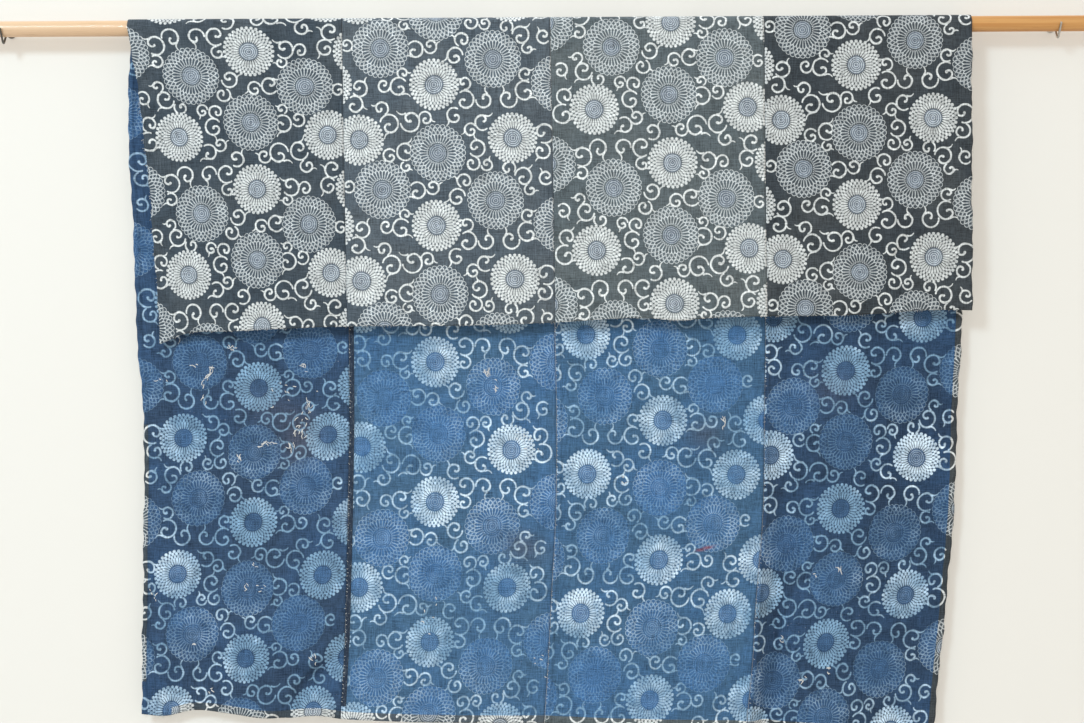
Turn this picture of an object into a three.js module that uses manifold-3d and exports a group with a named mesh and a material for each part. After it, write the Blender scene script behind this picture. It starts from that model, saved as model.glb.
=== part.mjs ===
// An indigo-dyed futon cover, four loom-width panels sewn side by side, hung over a round
// wooden rod that rests in two bent wire hooks.
// Millimetres, +Z up, +X to the right and +Y towards the wall that carries the hooks.
// The origin is on the wall, midway between the hooks and level with the rod's axis.
import * as THREE from "three";
import { mergeVertices } from "three/addons/utils/BufferGeometryUtils.js";
import Module from "manifold-3d";

const wasm = await Module();
wasm.setup();

// Rod
const ROD_DIAMETER = 24;
const ROD_LENGTH = 1800;
const ROD_CHAMFER = 1.5;
const ROD_SIDES = 36;
const ROD_STANDOFF = 36; // wall to rod axis

// Hooks
const HOOK_SPACING = 1626;
const WIRE_DIAMETER = 3.2;
const WIRE_SIDES = 10;
const WIRE_STEPS = 26;
const HOOK_HALF_ANGLE = THREE.MathUtils.degToRad(35);
const HOOK_BEND = 7; // how far each bend reaches along its two arms
const HOOK_TIP_HEIGHT = -1; // the front tip, above the rod's axis
const COLLAR_DIAMETER = 14;
const COLLAR_THICKNESS = 2;
const COLLAR_SIDES = 24;

// Cloth
const CLOTH_THICKNESS = 1.2;
const CLOTH_LIFT = 0.6; // cloth to rod, at the nominal radius
const HEM_TURN = 12; // width of the turned-over hem
const HEM_STEP = 0.8; // over which the hem's double thickness falls to a single one
const SEAM_GAP = 0.4;
const SEATING_GAP = 0.3; // rod to hook

// How many steps each stretch of the cloth is divided into along its length.
const STEPS = { front: 8, wrap: 9, back: 17 };

// One row for each panel. leftTurn and rightTurn are the widths along its two sides where
// the cloth lies double: a seam allowance, or the side hem of an outer panel.
const PANELS = [
  { name: "panel_1", width: 329, columns: 11, leftTurn: HEM_TURN, rightTurn: 0 },
  { name: "panel_2", width: 320, columns: 10, leftTurn: 11, rightTurn: 0 },
  { name: "panel_3", width: 327, columns: 10, leftTurn: 8, rightTurn: 0 },
  { name: "panel_4", width: 320, columns: 16, leftTurn: 8, rightTurn: HEM_TURN },
];

// Where the side edges and seams hang, as x. One row for each level, drop being its depth
// below the rod's axis. The front flap is drawn in at its left edge.
const EDGES = ["left", "seam1", "seam2", "seam3", "right"];
const FRONT_LEVELS = [
  { drop: 0, left: -619, seam1: -289, seam2: 30, seam3: 358, right: 677 },
  { drop: 75, left: -606, seam1: -288.5, seam2: 31, seam3: 358.5, right: 676.5 },
  { drop: 210, left: -591, seam1: -287, seam2: 33, seam3: 359, right: 675.5 },
  { drop: 330, left: -583, seam1: -285.5, seam2: 34.5, seam3: 360, right: 675.5 },
  { drop: 480, left: -574, seam1: -284, seam2: 35.5, seam3: 361, right: 675.5 },
];
const BACK_LEVELS = [
  { drop: 0, left: -619, seam1: -289, seam2: 30, seam3: 358, right: 677 },
  { drop: 140, left: -625, seam1: -288, seam2: 32, seam3: 359, right: 675 },
  { drop: 300, left: -618, seam1: -286, seam2: 34, seam3: 360.5, right: 671 },
  { drop: 470, left: -613, seam1: -284, seam2: 35, seam3: 361.5, right: 665 },
  { drop: 610, left: -603, seam1: -284, seam2: 37, seam3: 359, right: 657.5 },
  { drop: 750, left: -604, seam1: -287, seam2: 35, seam3: 356, right: 652 },
  { drop: 890, left: -606, seam1: -291, seam2: 27, seam3: 344, right: 639 },
  { drop: 980, left: -607.5, seam1: -295, seam2: 22, seam3: 338, right: 630 },
  { drop: 1100, left: -609, seam1: -302, seam2: 14, seam3: 326, right: 617 },
];

// The two hems: how far below the rod's axis the cloth ends, at a distance across it.
const FRONT_HEM = [
  { across: 0, drop: 487 },
  { across: 22, drop: 479 },
  { across: 48, drop: 471 },
  { across: 130, drop: 468 },
  { across: 300, drop: 462 },
  { across: 520, drop: 461 },
  { across: 650, drop: 457 },
  { across: 780, drop: 451 },
  { across: 840, drop: 455 },
  { across: 900, drop: 451 },
  { across: 1120, drop: 448 },
  { across: 1240, drop: 441 },
  { across: 1296, drop: 442 },
];
const BACK_HEM = [
  { across: 0, drop: 1060 },
  { across: 38, drop: 1063 },
  { across: 85, drop: 1055 },
  { across: 140, drop: 1059 },
  { across: 235, drop: 1069 },
  { across: 285, drop: 1064 },
  { across: 335, drop: 1069 },
  { across: 430, drop: 1073 },
  { across: 650, drop: 1079 },
  { across: 980, drop: 1087 },
  { across: 1296, drop: 1096 },
];

// Soft folds. Each starts at the depth "from", at a distance across the cloth, leans by a
// share of the depth below that, and is fullest at the hem. Depth towards the wall is positive.
const FRONT_FOLDS = [
  { across: 318, from: 250, lean: 0.02, width: 15, depth: 4 },
  { across: 460, from: 120, lean: 0.06, width: 70, depth: -4 },
  { across: 690, from: 120, lean: -0.05, width: 60, depth: 3 },
  { across: 850, from: 200, lean: 0.03, width: 45, depth: -4 },
  { across: 1170, from: 150, lean: -0.1, width: 60, depth: 4 },
];
const BACK_FOLDS = [
  { across: 95, from: 420, lean: 0.03, width: 55, depth: 5 },
  { across: 200, from: 500, lean: -0.05, width: 60, depth: -6 },
  { across: 369, from: 900, lean: -0.84, width: 24, depth: 10 },
  { across: 480, from: 450, lean: -0.06, width: 75, depth: -6 },
  { across: 640, from: 600, lean: 0.03, width: 50, depth: 5 },
  { across: 800, from: 500, lean: 0.05, width: 80, depth: -5 },
  { across: 982, from: 470, lean: 0, width: 17, depth: -7 },
  { across: 1009, from: 470, lean: 0, width: 17, depth: 13 },
  { across: 1130, from: 420, lean: -0.03, width: 60, depth: -6 },
  { across: 1240, from: 420, lean: -0.02, width: 45, depth: 6 },
];

// The front flap's left side, which curls back behind its own edge towards the hem.
const LEFT_CURL = { reach: 120, depth: 15 };

// Worked-out sizes
const ROD_RADIUS = ROD_DIAMETER / 2;
const ROD_Y = -ROD_STANDOFF;
const WRAP_RADIUS = ROD_RADIUS + CLOTH_LIFT + CLOTH_THICKNESS / 2;
const PANEL_STARTS = PANELS.map((panel, index) =>
  PANELS.slice(0, index).reduce((sum, earlier) => sum + earlier.width, 0),
);

// Finishes
const indigo = (color) => new THREE.MeshStandardMaterial({ color, roughness: 0.9, metalness: 0 });
const PANEL_MATERIALS = ["#3f4c61", "#475669", "#475669", "#3c475c"].map(indigo);
const PINE = new THREE.MeshStandardMaterial({ color: "#d9a566", roughness: 0.55, metalness: 0 });
const STEEL = new THREE.MeshStandardMaterial({ color: "#8f8a84", roughness: 0.35, metalness: 1 });

// A smooth reading of a table: its named columns at any value of its key column.
function tableCurve(rows, key, columns) {
  const places = rows.map((row) => row[key]);
  const values = rows.flatMap((row) => columns.map((column) => row[column]));
  return new THREE.CubicInterpolant(places, values, columns.length);
}

const frontEdges = tableCurve(FRONT_LEVELS, "drop", EDGES);
const backEdges = tableCurve(BACK_LEVELS, "drop", EDGES);
const frontHem = tableCurve(FRONT_HEM, "across", ["drop"]);
const backHem = tableCurve(BACK_HEM, "across", ["drop"]);

// The x of a place across the cloth, between the two edges of the panel that it lies in.
function hangX(edges, across, drop) {
  const found = PANEL_STARTS.findLastIndex((start) => across >= start);
  const index = Math.max(found, 0);
  const share = (across - PANEL_STARTS[index]) / PANELS[index].width;
  const row = edges.evaluate(drop);
  return THREE.MathUtils.lerp(row[index], row[index + 1], share);
}

// The sum of the folds' depths at one place. A fold's profile is a bell curve.
function foldDepth(folds, across, drop, hem) {
  return folds.reduce((sum, fold) => {
    const centre = fold.across + fold.lean * (drop - fold.from);
    const profile = Math.exp(-(((across - centre) / fold.width) ** 2));
    return sum + fold.depth * profile * THREE.MathUtils.smoothstep(drop, fold.from, hem);
  }, 0);
}

function curlDepth(across, share) {
  const nearness = THREE.MathUtils.clamp(1 - across / LEFT_CURL.reach, 0, 1);
  return LEFT_CURL.depth * nearness ** 1.6 * THREE.MathUtils.smoothstep(share, 0, 1);
}

// The cloth's middle surface. along runs 0 to 1 up the front flap from its hem, 1 to 2 over
// the rod, and 2 to 3 down the back to the other hem.
function clothPoint(across, along) {
  if (along <= 1) {
    const hem = frontHem.evaluate(across)[0];
    const drop = hem * (1 - along);
    const depth = foldDepth(FRONT_FOLDS, across, drop, hem) + curlDepth(across, 1 - along);
    return new THREE.Vector3(hangX(frontEdges, across, drop), ROD_Y - WRAP_RADIUS + depth, -drop);
  }
  if (along < 2) {
    const turn = Math.PI * (along - 1);
    const y = ROD_Y - WRAP_RADIUS * Math.cos(turn);
    return new THREE.Vector3(hangX(backEdges, across, 0), y, WRAP_RADIUS * Math.sin(turn));
  }
  const hem = backHem.evaluate(across)[0];
  const drop = hem * (along - 2);
  const depth = foldDepth(BACK_FOLDS, across, drop, hem);
  return new THREE.Vector3(hangX(backEdges, across, drop), ROD_Y + WRAP_RADIUS + depth, -drop);
}

// The unit normal on the printed side, from the slopes across and along the cloth.
function clothNormal(across, along) {
  const nudge = { across: 1, along: 0.002 };
  const low = Math.max(along - nudge.along, 0);
  const high = Math.min(along + nudge.along, 3);
  const over = clothPoint(across + nudge.across, along).sub(clothPoint(across - nudge.across, along));
  const up = clothPoint(across, high).sub(clothPoint(across, low));
  return over.cross(up).normalize();
}

// The stops of a stretch that is divided evenly, with a narrow step where a turned-over edge ends.
function stops(length, count, startTurn, endTurn) {
  const even = Array.from({ length: count + 1 }, (_, i) => (length * i) / count);
  const turned = [];
  if (startTurn) turned.push(startTurn, startTurn + HEM_STEP);
  if (endTurn) turned.push(length - endTurn - HEM_STEP, length - endTurn);
  const clear = even.filter((at) => turned.every((mark) => Math.abs(mark - at) > 4 * HEM_STEP));
  return [...clear, ...turned].sort((a, b) => a - b);
}

// The stops along the cloth, from the front hem over the rod to the back hem.
function alongStops(across) {
  const front = frontHem.evaluate(across)[0];
  const back = backHem.evaluate(across)[0];
  const wrap = Array.from({ length: STEPS.wrap - 1 }, (_, i) => 1 + (i + 1) / STEPS.wrap);
  return [
    ...stops(front, STEPS.front, HEM_TURN, 0).map((at) => at / front),
    ...wrap,
    ...stops(back, STEPS.back, 0, HEM_TURN).map((at) => 2 + at / back),
  ];
}

// One where the cloth lies double, and nought where it lies single. Over the rod it is single.
function doubled(panel, inPanel, row, rowCount, along) {
  const hem = row <= 1 || row >= rowCount - 2;
  const left = panel.leftTurn > 0 && inPanel <= panel.leftTurn;
  const right = panel.rightTurn > 0 && inPanel >= panel.width - panel.rightTurn;
  const offRod = along < 0.9 || along > 2.05;
  return hem || ((left || right) && offRod) ? 1 : 0;
}

// A panel as one closed sheet: a grid of points on each side and a rim that joins them.
function panelGeometry(panel, start) {
  const columns = stops(panel.width, panel.columns, panel.leftTurn, panel.rightTurn);
  const rowCount = alongStops(start).length;
  const half = CLOTH_THICKNESS / 2;
  const printed = [];
  const plain = [];
  columns.forEach((inPanel) => {
    const inset = SEAM_GAP / 2;
    const across = start + THREE.MathUtils.clamp(inPanel, inset, panel.width - inset);
    alongStops(across).forEach((along, row) => {
      const middle = clothPoint(across, along);
      const normal = clothNormal(across, along);
      const inner = half + CLOTH_THICKNESS * doubled(panel, inPanel, row, rowCount, along);
      printed.push(middle.clone().addScaledVector(normal, half));
      plain.push(middle.clone().addScaledVector(normal, -inner));
    });
  });
  const at = (side, column, row) => side * printed.length + column * rowCount + row;
  const faces = [];
  const quad = (a, b, c, d) => faces.push(a, b, c, a, c, d);
  const lastColumn = columns.length - 1;
  const lastRow = rowCount - 1;
  for (let c = 0; c < lastColumn; c += 1) {
    for (let r = 0; r < lastRow; r += 1) {
      quad(at(0, c, r), at(0, c + 1, r), at(0, c + 1, r + 1), at(0, c, r + 1));
      quad(at(1, c, r), at(1, c, r + 1), at(1, c + 1, r + 1), at(1, c + 1, r));
    }
    quad(at(0, c, 0), at(1, c, 0), at(1, c + 1, 0), at(0, c + 1, 0));
    quad(at(0, c, lastRow), at(0, c + 1, lastRow), at(1, c + 1, lastRow), at(1, c, lastRow));
  }
  for (let r = 0; r < lastRow; r += 1) {
    quad(at(0, 0, r), at(0, 0, r + 1), at(1, 0, r + 1), at(1, 0, r));
    quad(at(0, lastColumn, r), at(1, lastColumn, r), at(1, lastColumn, r + 1), at(0, lastColumn, r + 1));
  }
  const geometry = new THREE.BufferGeometry().setFromPoints([...printed, ...plain]);
  geometry.setIndex(faces);
  geometry.computeVertexNormals();
  return geometry;
}

function panelMesh(panel, index) {
  const mesh = new THREE.Mesh(panelGeometry(panel, PANEL_STARTS[index]), PANEL_MATERIALS[index]);
  mesh.name = panel.name;
  return mesh;
}

// The rod is a turned profile with a chamfer at each end.
function rodMesh() {
  const end = ROD_LENGTH / 2;
  const profile = [
    new THREE.Vector2(0, -end),
    new THREE.Vector2(ROD_RADIUS - ROD_CHAMFER, -end),
    new THREE.Vector2(ROD_RADIUS, -end + ROD_CHAMFER),
    new THREE.Vector2(ROD_RADIUS, end - ROD_CHAMFER),
    new THREE.Vector2(ROD_RADIUS - ROD_CHAMFER, end),
    new THREE.Vector2(0, end),
  ];
  const mesh = new THREE.Mesh(new THREE.LatheGeometry(profile, ROD_SIDES), PINE);
  mesh.rotation.z = -Math.PI / 2;
  mesh.position.y = ROD_Y;
  mesh.name = "rod";
  return mesh;
}

function toSolid(geometry) {
  const bare = geometry.clone().deleteAttribute("normal").deleteAttribute("uv");
  const merged = mergeVertices(bare, 1e-4);
  return new wasm.Manifold(
    new wasm.Mesh({
      numProp: 3,
      vertProperties: merged.attributes.position.array,
      triVerts: new Uint32Array(merged.index.array),
    }),
  );
}

function toGeometry(solid) {
  const mesh = solid.getMesh();
  const geometry = new THREE.BufferGeometry();
  geometry.setAttribute("position", new THREE.BufferAttribute(mesh.vertProperties, 3));
  geometry.setIndex(new THREE.BufferAttribute(mesh.triVerts, 1));
  geometry.computeVertexNormals();
  return geometry;
}

// A path through corners, each rounded by a curve that reaches HOOK_BEND along its two arms.
function roundedPath(corners) {
  const path = new THREE.CurvePath();
  let from = corners[0];
  corners.slice(1, -1).forEach((corner, index) => {
    const before = corner.clone().add(corners[index].clone().sub(corner).setLength(HOOK_BEND));
    const after = corner.clone().add(corners[index + 2].clone().sub(corner).setLength(HOOK_BEND));
    path.add(new THREE.LineCurve3(from, before));
    path.add(new THREE.QuadraticBezierCurve3(before, corner, after));
    from = after;
  });
  path.add(new THREE.LineCurve3(from, corners.at(-1)));
  return path;
}

// A hook is one wire: a tip in front of the rod, a V that the rod lies in, and a shank to the
// wall, where a round collar sits flat against it.
function hookGeometry() {
  const wireRadius = WIRE_DIAMETER / 2;
  const reach = ROD_RADIUS + SEATING_GAP + wireRadius;
  const valley = -reach / Math.sin(HOOK_HALF_ANGLE);
  const outAt = (z) => (z - valley) * Math.tan(HOOK_HALF_ANGLE);
  const path = roundedPath([
    new THREE.Vector3(0, ROD_Y - outAt(HOOK_TIP_HEIGHT), HOOK_TIP_HEIGHT),
    new THREE.Vector3(0, ROD_Y, valley),
    new THREE.Vector3(0, ROD_Y + outAt(0), 0),
    new THREE.Vector3(0, -COLLAR_THICKNESS / 2, 0),
  ]);
  const round = new THREE.EllipseCurve(0, 0, wireRadius, wireRadius);
  const section = new THREE.Shape(round.getPoints(WIRE_SIDES));
  const wire = new THREE.ExtrudeGeometry(section, { extrudePath: path, steps: WIRE_STEPS });
  const collarRadius = COLLAR_DIAMETER / 2;
  const collar = new THREE.CylinderGeometry(collarRadius, collarRadius, COLLAR_THICKNESS, COLLAR_SIDES);
  collar.translate(0, -COLLAR_THICKNESS / 2, 0);
  return toGeometry(toSolid(wire).add(toSolid(collar)));
}

function hookMesh(name, x) {
  const mesh = new THREE.Mesh(hookGeometry(), STEEL);
  mesh.position.x = x;
  mesh.name = name;
  return mesh;
}

const cover = new THREE.Group();
cover.add(...PANELS.map(panelMesh));

const hanger = new THREE.Group();
hanger.add(rodMesh());
hanger.add(hookMesh("hook_left", -HOOK_SPACING / 2));
hanger.add(hookMesh("hook_right", HOOK_SPACING / 2));

const part = new THREE.Group();
part.add(cover, hanger);

export default part;
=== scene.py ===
"""An indigo futon cover of four sewn panels, hung over a wooden rod in two wire hooks.

The file is laid out as an add-on and run as a script. Lengths in its tables are millimetres, and
meshes are in metres: +X to the right along the rod, +Y towards the wall and +Z up.
"""

import math

import bpy
import numpy as np
from bpy.props import FloatProperty, FloatVectorProperty, IntProperty, PointerProperty
from bpy.types import Operator, Panel, PropertyGroup
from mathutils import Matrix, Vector


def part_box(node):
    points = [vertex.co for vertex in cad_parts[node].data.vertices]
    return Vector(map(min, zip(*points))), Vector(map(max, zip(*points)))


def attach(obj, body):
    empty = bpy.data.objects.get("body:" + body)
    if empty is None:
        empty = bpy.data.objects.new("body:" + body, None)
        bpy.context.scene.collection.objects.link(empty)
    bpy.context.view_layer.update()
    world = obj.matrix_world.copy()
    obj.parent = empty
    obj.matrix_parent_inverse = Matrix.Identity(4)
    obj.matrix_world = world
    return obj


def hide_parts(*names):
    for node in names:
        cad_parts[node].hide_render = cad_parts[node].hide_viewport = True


bl_info = {
    "name": "Futon cover",
    "version": (1, 0, 0),
    "blender": (4, 5, 0),
    "location": "3D View > Sidebar > Futon cover",
    "description": "Builds an indigo futon cover hung over a wooden rod",
    "category": "Object",
}

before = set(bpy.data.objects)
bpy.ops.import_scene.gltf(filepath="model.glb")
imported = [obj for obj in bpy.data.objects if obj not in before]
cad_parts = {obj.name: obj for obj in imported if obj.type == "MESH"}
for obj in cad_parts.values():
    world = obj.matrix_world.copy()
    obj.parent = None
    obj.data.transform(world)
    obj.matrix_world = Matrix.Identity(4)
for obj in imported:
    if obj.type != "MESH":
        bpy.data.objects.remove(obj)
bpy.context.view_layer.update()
BODY = "root"
MM = 0.001

# The drape, as in the solids.

ROD_LOW, ROD_HIGH = (np.array(corner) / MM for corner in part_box("rod"))
ROD_RADIUS = float(ROD_HIGH[2] - ROD_LOW[2]) / 2
ROD_Y = float(ROD_LOW[1] + ROD_HIGH[1]) / 2
CLOTH_THICKNESS = 1.2
WRAP_RADIUS = ROD_RADIUS + 0.6 + CLOTH_THICKNESS / 2
QUARTER_WRAP = WRAP_RADIUS * math.pi / 2

PANEL_WIDTHS = np.array([329.0, 320.0, 327.0, 320.0])
PANEL_STARTS = np.concatenate([[0.0], np.cumsum(PANEL_WIDTHS)])
CLOTH_WIDTH = float(PANEL_STARTS[-1])

# The drape's levels. Columns: drop, then x of the left edge, seams 1 to 3 and the right edge.
FRONT_LEVELS = np.array([
    (0, -619, -289, 30, 358, 677),
    (75, -606, -288.5, 31, 358.5, 676.5),
    (210, -591, -287, 33, 359, 675.5),
    (330, -583, -285.5, 34.5, 360, 675.5),
    (480, -574, -284, 35.5, 361, 675.5),
])
BACK_LEVELS = np.array([
    (0, -619, -289, 30, 358, 677),
    (140, -625, -288, 32, 359, 675),
    (300, -618, -286, 34, 360.5, 671),
    (470, -613, -284, 35, 361.5, 665),
    (610, -603, -284, 37, 359, 657.5),
    (750, -604, -287, 35, 356, 652),
    (890, -606, -291, 27, 344, 639),
    (980, -607.5, -295, 22, 338, 630),
    (1100, -609, -302, 14, 326, 617),
])

# The two hems. Columns: distance across the cloth, drop below the rod's axis.
FRONT_HEM = np.array([
    (0, 487), (22, 479), (48, 471), (130, 468), (300, 462), (520, 461), (650, 457),
    (780, 451), (840, 455), (900, 451), (1120, 448), (1240, 441), (1296, 442),
], dtype=float)
BACK_HEM = np.array([
    (0, 1060), (38, 1063), (85, 1055), (140, 1059), (235, 1069), (285, 1064), (335, 1069),
    (430, 1073), (650, 1079), (980, 1087), (1296, 1096),
], dtype=float)

# Soft folds. Columns: across, from (drop), lean, width, depth towards the wall.
FRONT_FOLDS = (
    (318, 250, 0.02, 15, 4),
    (460, 120, 0.06, 70, -4),
    (690, 120, -0.05, 60, 3),
    (850, 200, 0.03, 45, -4),
    (1170, 150, -0.1, 60, 4),
)
BACK_FOLDS = (
    (95, 420, 0.03, 55, 5),
    (200, 500, -0.05, 60, -6),
    (369, 900, -0.84, 24, 10),
    (480, 450, -0.06, 75, -6),
    (640, 600, 0.03, 50, 5),
    (800, 500, 0.05, 80, -5),
    (982, 470, 0, 17, -7),
    (1009, 470, 0, 17, 13),
    (1130, 420, -0.03, 60, -6),
    (1240, 420, -0.02, 45, 6),
)
LEFT_CURL_REACH = 120
LEFT_CURL_DEPTH = 15

# Small creases on top of the folds. Columns: across, drop, half length, half width, the angle of
# the crease line from level, and depth towards the wall.
FRONT_CREASES = (
    (1182, 352, 34, 4.5, 122, 4.4), (1203, 345, 36, 7, 118, -3.2), (322, 430, 40, 5, 92, 2.2),
    (338, 425, 42, 6, 90, -1.6), (60, 330, 90, 9, 78, 2.0), (640, 420, 60, 8, 84, 1.6),
    (905, 300, 120, 9, 97, -1.4), (1070, 395, 50, 8, 70, 1.6), (760, 210, 70, 7, 20, 1.0),
    (200, 150, 60, 8, 165, 1.0),
)
BACK_CREASES = (
    (298, 985, 60, 7, 140, 4.5), (262, 1000, 70, 8, 128, -3.6), (700, 742, 34, 5, 4, 1.8),
    (790, 690, 55, 5, 176, 1.6), (70, 640, 55, 7, 35, 2.4), (40, 600, 40, 8, 60, -2.6),
    (165, 560, 70, 8, 150, 1.6), (420, 820, 110, 9, 96, 1.8), (560, 960, 90, 8, 84, -2.0),
    (865, 930, 110, 10, 95, 2.0), (1030, 800, 170, 7, 91, -2.2), (1100, 620, 120, 9, 100, 1.8),
    (1215, 880, 130, 10, 96, -2.2), (690, 1035, 50, 8, 80, 2.4), (920, 1040, 50, 9, 100, -2.4),
)

# Hem and seam allowances, where the cloth lies double on its plain side.
HEM_TURN = 12
HEM_STEP = 0.8
LEFT_TURN = 7
RIGHT_TURN = 10
SEAM_TURNS = (None, 7.5, 7, 7)
FIRST_TURNS = (LEFT_TURN, *SEAM_TURNS[1:])
LAST_PANEL = len(PANEL_WIDTHS) - 1
# Turned cloth shows its print on the left side between these drops, and on the hem past this way
# across. The bare allowance of the first seam ends at this drop.
LEFT_PRINT = (610, 1010)
HEM_PRINT = 48
ALLOWANCE_END = 1050
# About how long the two parts hang, for the grid's spacing, and the grid's stops round the rod.
FLAP_LENGTH = 465
BACK_LENGTH = 1075
WRAP_STOPS = 17
# Stops nearer than this to a step in the cloth give way to it.
STEP_CLEAR = 1.6
SIDE_GAP = 0.2

# The print. A repeat is charted in millimetres: across from a panel's side, and along its length.
REPEAT = 210.0
# One row for each panel: turned end for end, its repeat as printed, where the repeat starts
# along the cloth from the top of the rod, and how far it is set in from the side.
PRINT_PLACES = (
    (False, 211, -60, 5),
    (True, 216.5, -112, 9),
    (False, 216, -18, 0),
    (True, 213.5, -86, 11),
)
# How far the print has slipped sideways in the drape. Columns: shift and squeeze on the front flap,
# shift and squeeze on the back, and lean of the back below the flap.
PRINT_SLIPS = (
    (6, -0.04, -5, 0, 0.035),
    (3, 0, 7, 0.02, 0),
    (2, 0, 19, 0, 0),
    (4, 0, 17, -0.035, 0.015),
)
# The slip changes from the front's to the back's over this much cloth, and the lean starts here.
SLIP_REACH = 420
LEAN_START = 520
# Where a fold pulls the print of the back aside. Columns: across, drop, reach, to the right, down.
PRINT_PULLS = (
    (297, 635, 45, -3, -7), (181, 552, 40, 1.5, 4), (1121, 960, 65, -6, -8), (1215, 880, 50, 1, 4),
    (1240, 666, 50, 1, 4), (590, 650, 60, 0, 3),
)
# The flower roundels. Columns: across, along, radius, and one for white or nought for grey.
FLOWERS = np.array([
    (186, 0, 39, 1), (67, 130, 38.5, 1), (302, 128, 38.5, 1), (95, 37, 42.5, 0),
    (268, 54, 43, 0), (182, 108, 42.5, 0), (-6, 1, 42.5, 0), (350, 0, 38.5, 1),
])
# The vine scrolls, charted in the same way. Columns: across, along, radius, the angle at which a
# scroll starts, how far it winds (positive is clockwise), and how far along it the spur leaves.
SCROLLS = (
    (112.5, 153, 11.3, 235, 246, 240), (131, 143, 9, 142, -300, 147),
    (138.5, -22.5, 12.9, 56, 277, 0), (156, -45.5, 10.8, 119, -272, 150),
    (111, -23.5, 11.2, 0, -250, 236), (139, 0.5, 8.7, 270, -260, 207),
    (47.5, -9.5, 13.6, 120, -285, 242), (71.5, -22.5, 12.3, 175, 270, 225),
    (46, 14, 9, 238, 280, 246), (256, 152, 13.6, 14, 300, 251), (224, 154.5, 14.4, 351, -305, 290),
    (201, 160.5, 9.2, 350, 300, 188), (266.5, 174.5, 9.5, 238, -280, 197),
    (308, 181.5, 11.8, 55, 275, 125), (300.5, 204, 11.5, 322, -310, 176),
    (240, -2.5, 12.8, 142, -290, 258), (262.5, -2, 8.7, 195, 280, 0),
    (234.5, 16.5, 7.4, 300, 270, 213), (143, 66, 10, 301, 305, 60), (153, 43, 11.5, 175, -315, 175),
    (214.5, 52.5, 12, 38, 290, 261), (191, 56, 9.5, 340, -300, 165), (52, 73, 12.5, 10, 305, 98),
    (42.5, 53.5, 7.7, 60, -250, 208), (73, 85, 9.2, 212, -270, 0), (17, 70, 9.6, 221, 290, 176),
    (122.5, 114.5, 12.3, 322, -310, 219), (127.5, 92.5, 9.6, 111, 290, 0),
    (107.5, 89.5, 8, 350, -310, 214), (232, 110, 12.6, 236, 300, 218),
    (256, 105, 9.6, 140, -300, 167), (232, 88.5, 6.8, 61, -260, 189),
    (319, 58.5, 8.3, 310, -290, 70), (21, 110.5, 10.8, 119, 280, 166),
    (18, 136, 14, 290, -300, 240),
)
PETALS = 32
# Rows of petals in a flower, the long ones first: middle and half length as shares of its radius,
# stagger, how much of its cell a white petal fills, and how fine a grey petal's outline is.
PETAL_ROWS = (
    (0.520, 0.175, 0, 0.86, 4.2), (0.712, 0.114, 1, 0.76, 6.4), (0.822, 0.114, 0, 0.76, 6.4),
    (0.924, 0.100, 1, 0.76, 6.4),
)
PETAL_OUTLINE = 0.85
RING_SPACING = 0.074
# Half width of a vine stroke.
STROKE = 1.5
# The vine arcs kept for each face, nearest first.
STROKE_LAYERS = "abc"
# A scroll winds in on three circles: size as a share of the first, and share of the winding.
SCROLL_TURNS = ((1.0, 0.72), (0.76, 0.28), (0.40, 0.52))

# Worn places on the plain side. Columns: across, drop, half length, half width, angle, amount.
WEAR = (
    (110, 531, 14, 5, 125, 0.5), (146, 493, 7, 5, 0, 0.6), (250, 610, 30, 9, 118, 0.5),
    (240, 644, 16, 8, 110, 0.5), (197, 640, 10, 4, 12, 0.5), (152, 662, 7, 6, 60, 0.5),
    (196, 871, 9, 5, 30, 0.5), (543, 540, 14, 9, 100, 0.45), (560, 560, 9, 7, 0, 0.4),
    (600, 640, 14, 8, 30, 0.35), (210, 480, 30, 20, 0, 0.3), (250, 700, 60, 60, 0, 0.22),
    (545, 600, 70, 60, 0, 0.2), (1110, 845, 10, 6, 60, 0.4), (1065, 1010, 30, 16, 20, 0.3),
)
# Broken yarns lying on the plain side. Columns: across, drop, half spread along and aside, the
# angle of the yarns from level, how many, the longest.
BROKEN_YARNS = (
    (110, 531, 9, 2.5, 122, 9, 11), (99, 548, 6, 2, 120, 4, 8), (84, 520, 4, 2, 20, 3, 6),
    (146, 493, 4, 3, 10, 9, 6), (259, 524, 5, 2, 60, 4, 8), (197, 640, 7, 1.5, 10, 5, 13),
    (186, 646, 4, 2, 160, 3, 8), (152, 662, 4, 3, 75, 7, 7), (262, 584, 7, 4, 80, 7, 10),
    (250, 615, 14, 7, 118, 16, 8), (237, 646, 8, 4, 80, 9, 9), (32, 541, 7, 3, 10, 4, 6),
    (99, 577, 5, 3, 90, 4, 6), (180, 831, 3, 2, 40, 3, 5), (167, 865, 4, 3, 80, 4, 6),
    (192, 864, 6, 3, 20, 4, 5), (79, 952, 5, 1, 4, 3, 8), (277, 971, 6, 3, 70, 5, 9),
    (113, 1025, 3, 2, 50, 3, 6), (16, 879, 5, 3, 80, 5, 6), (225, 560, 25, 16, 30, 9, 5),
    (543, 538, 7, 3, 100, 8, 10), (556, 556, 6, 4, 40, 6, 7), (600, 640, 16, 10, 30, 6, 5),
    (913, 618, 10, 2, 82, 5, 12), (756, 699, 6, 4, 30, 4, 6), (1112, 840, 6, 2, 55, 5, 9),
    (1070, 851, 4, 3, 30, 3, 5), (1106, 998, 5, 3, 30, 4, 7), (1062, 1014, 10, 4, 10, 6, 7),
    (1024, 952, 4, 3, 70, 4, 6), (640, 980, 20, 14, 60, 6, 5), (470, 900, 30, 20, 80, 6, 5),
)
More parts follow.
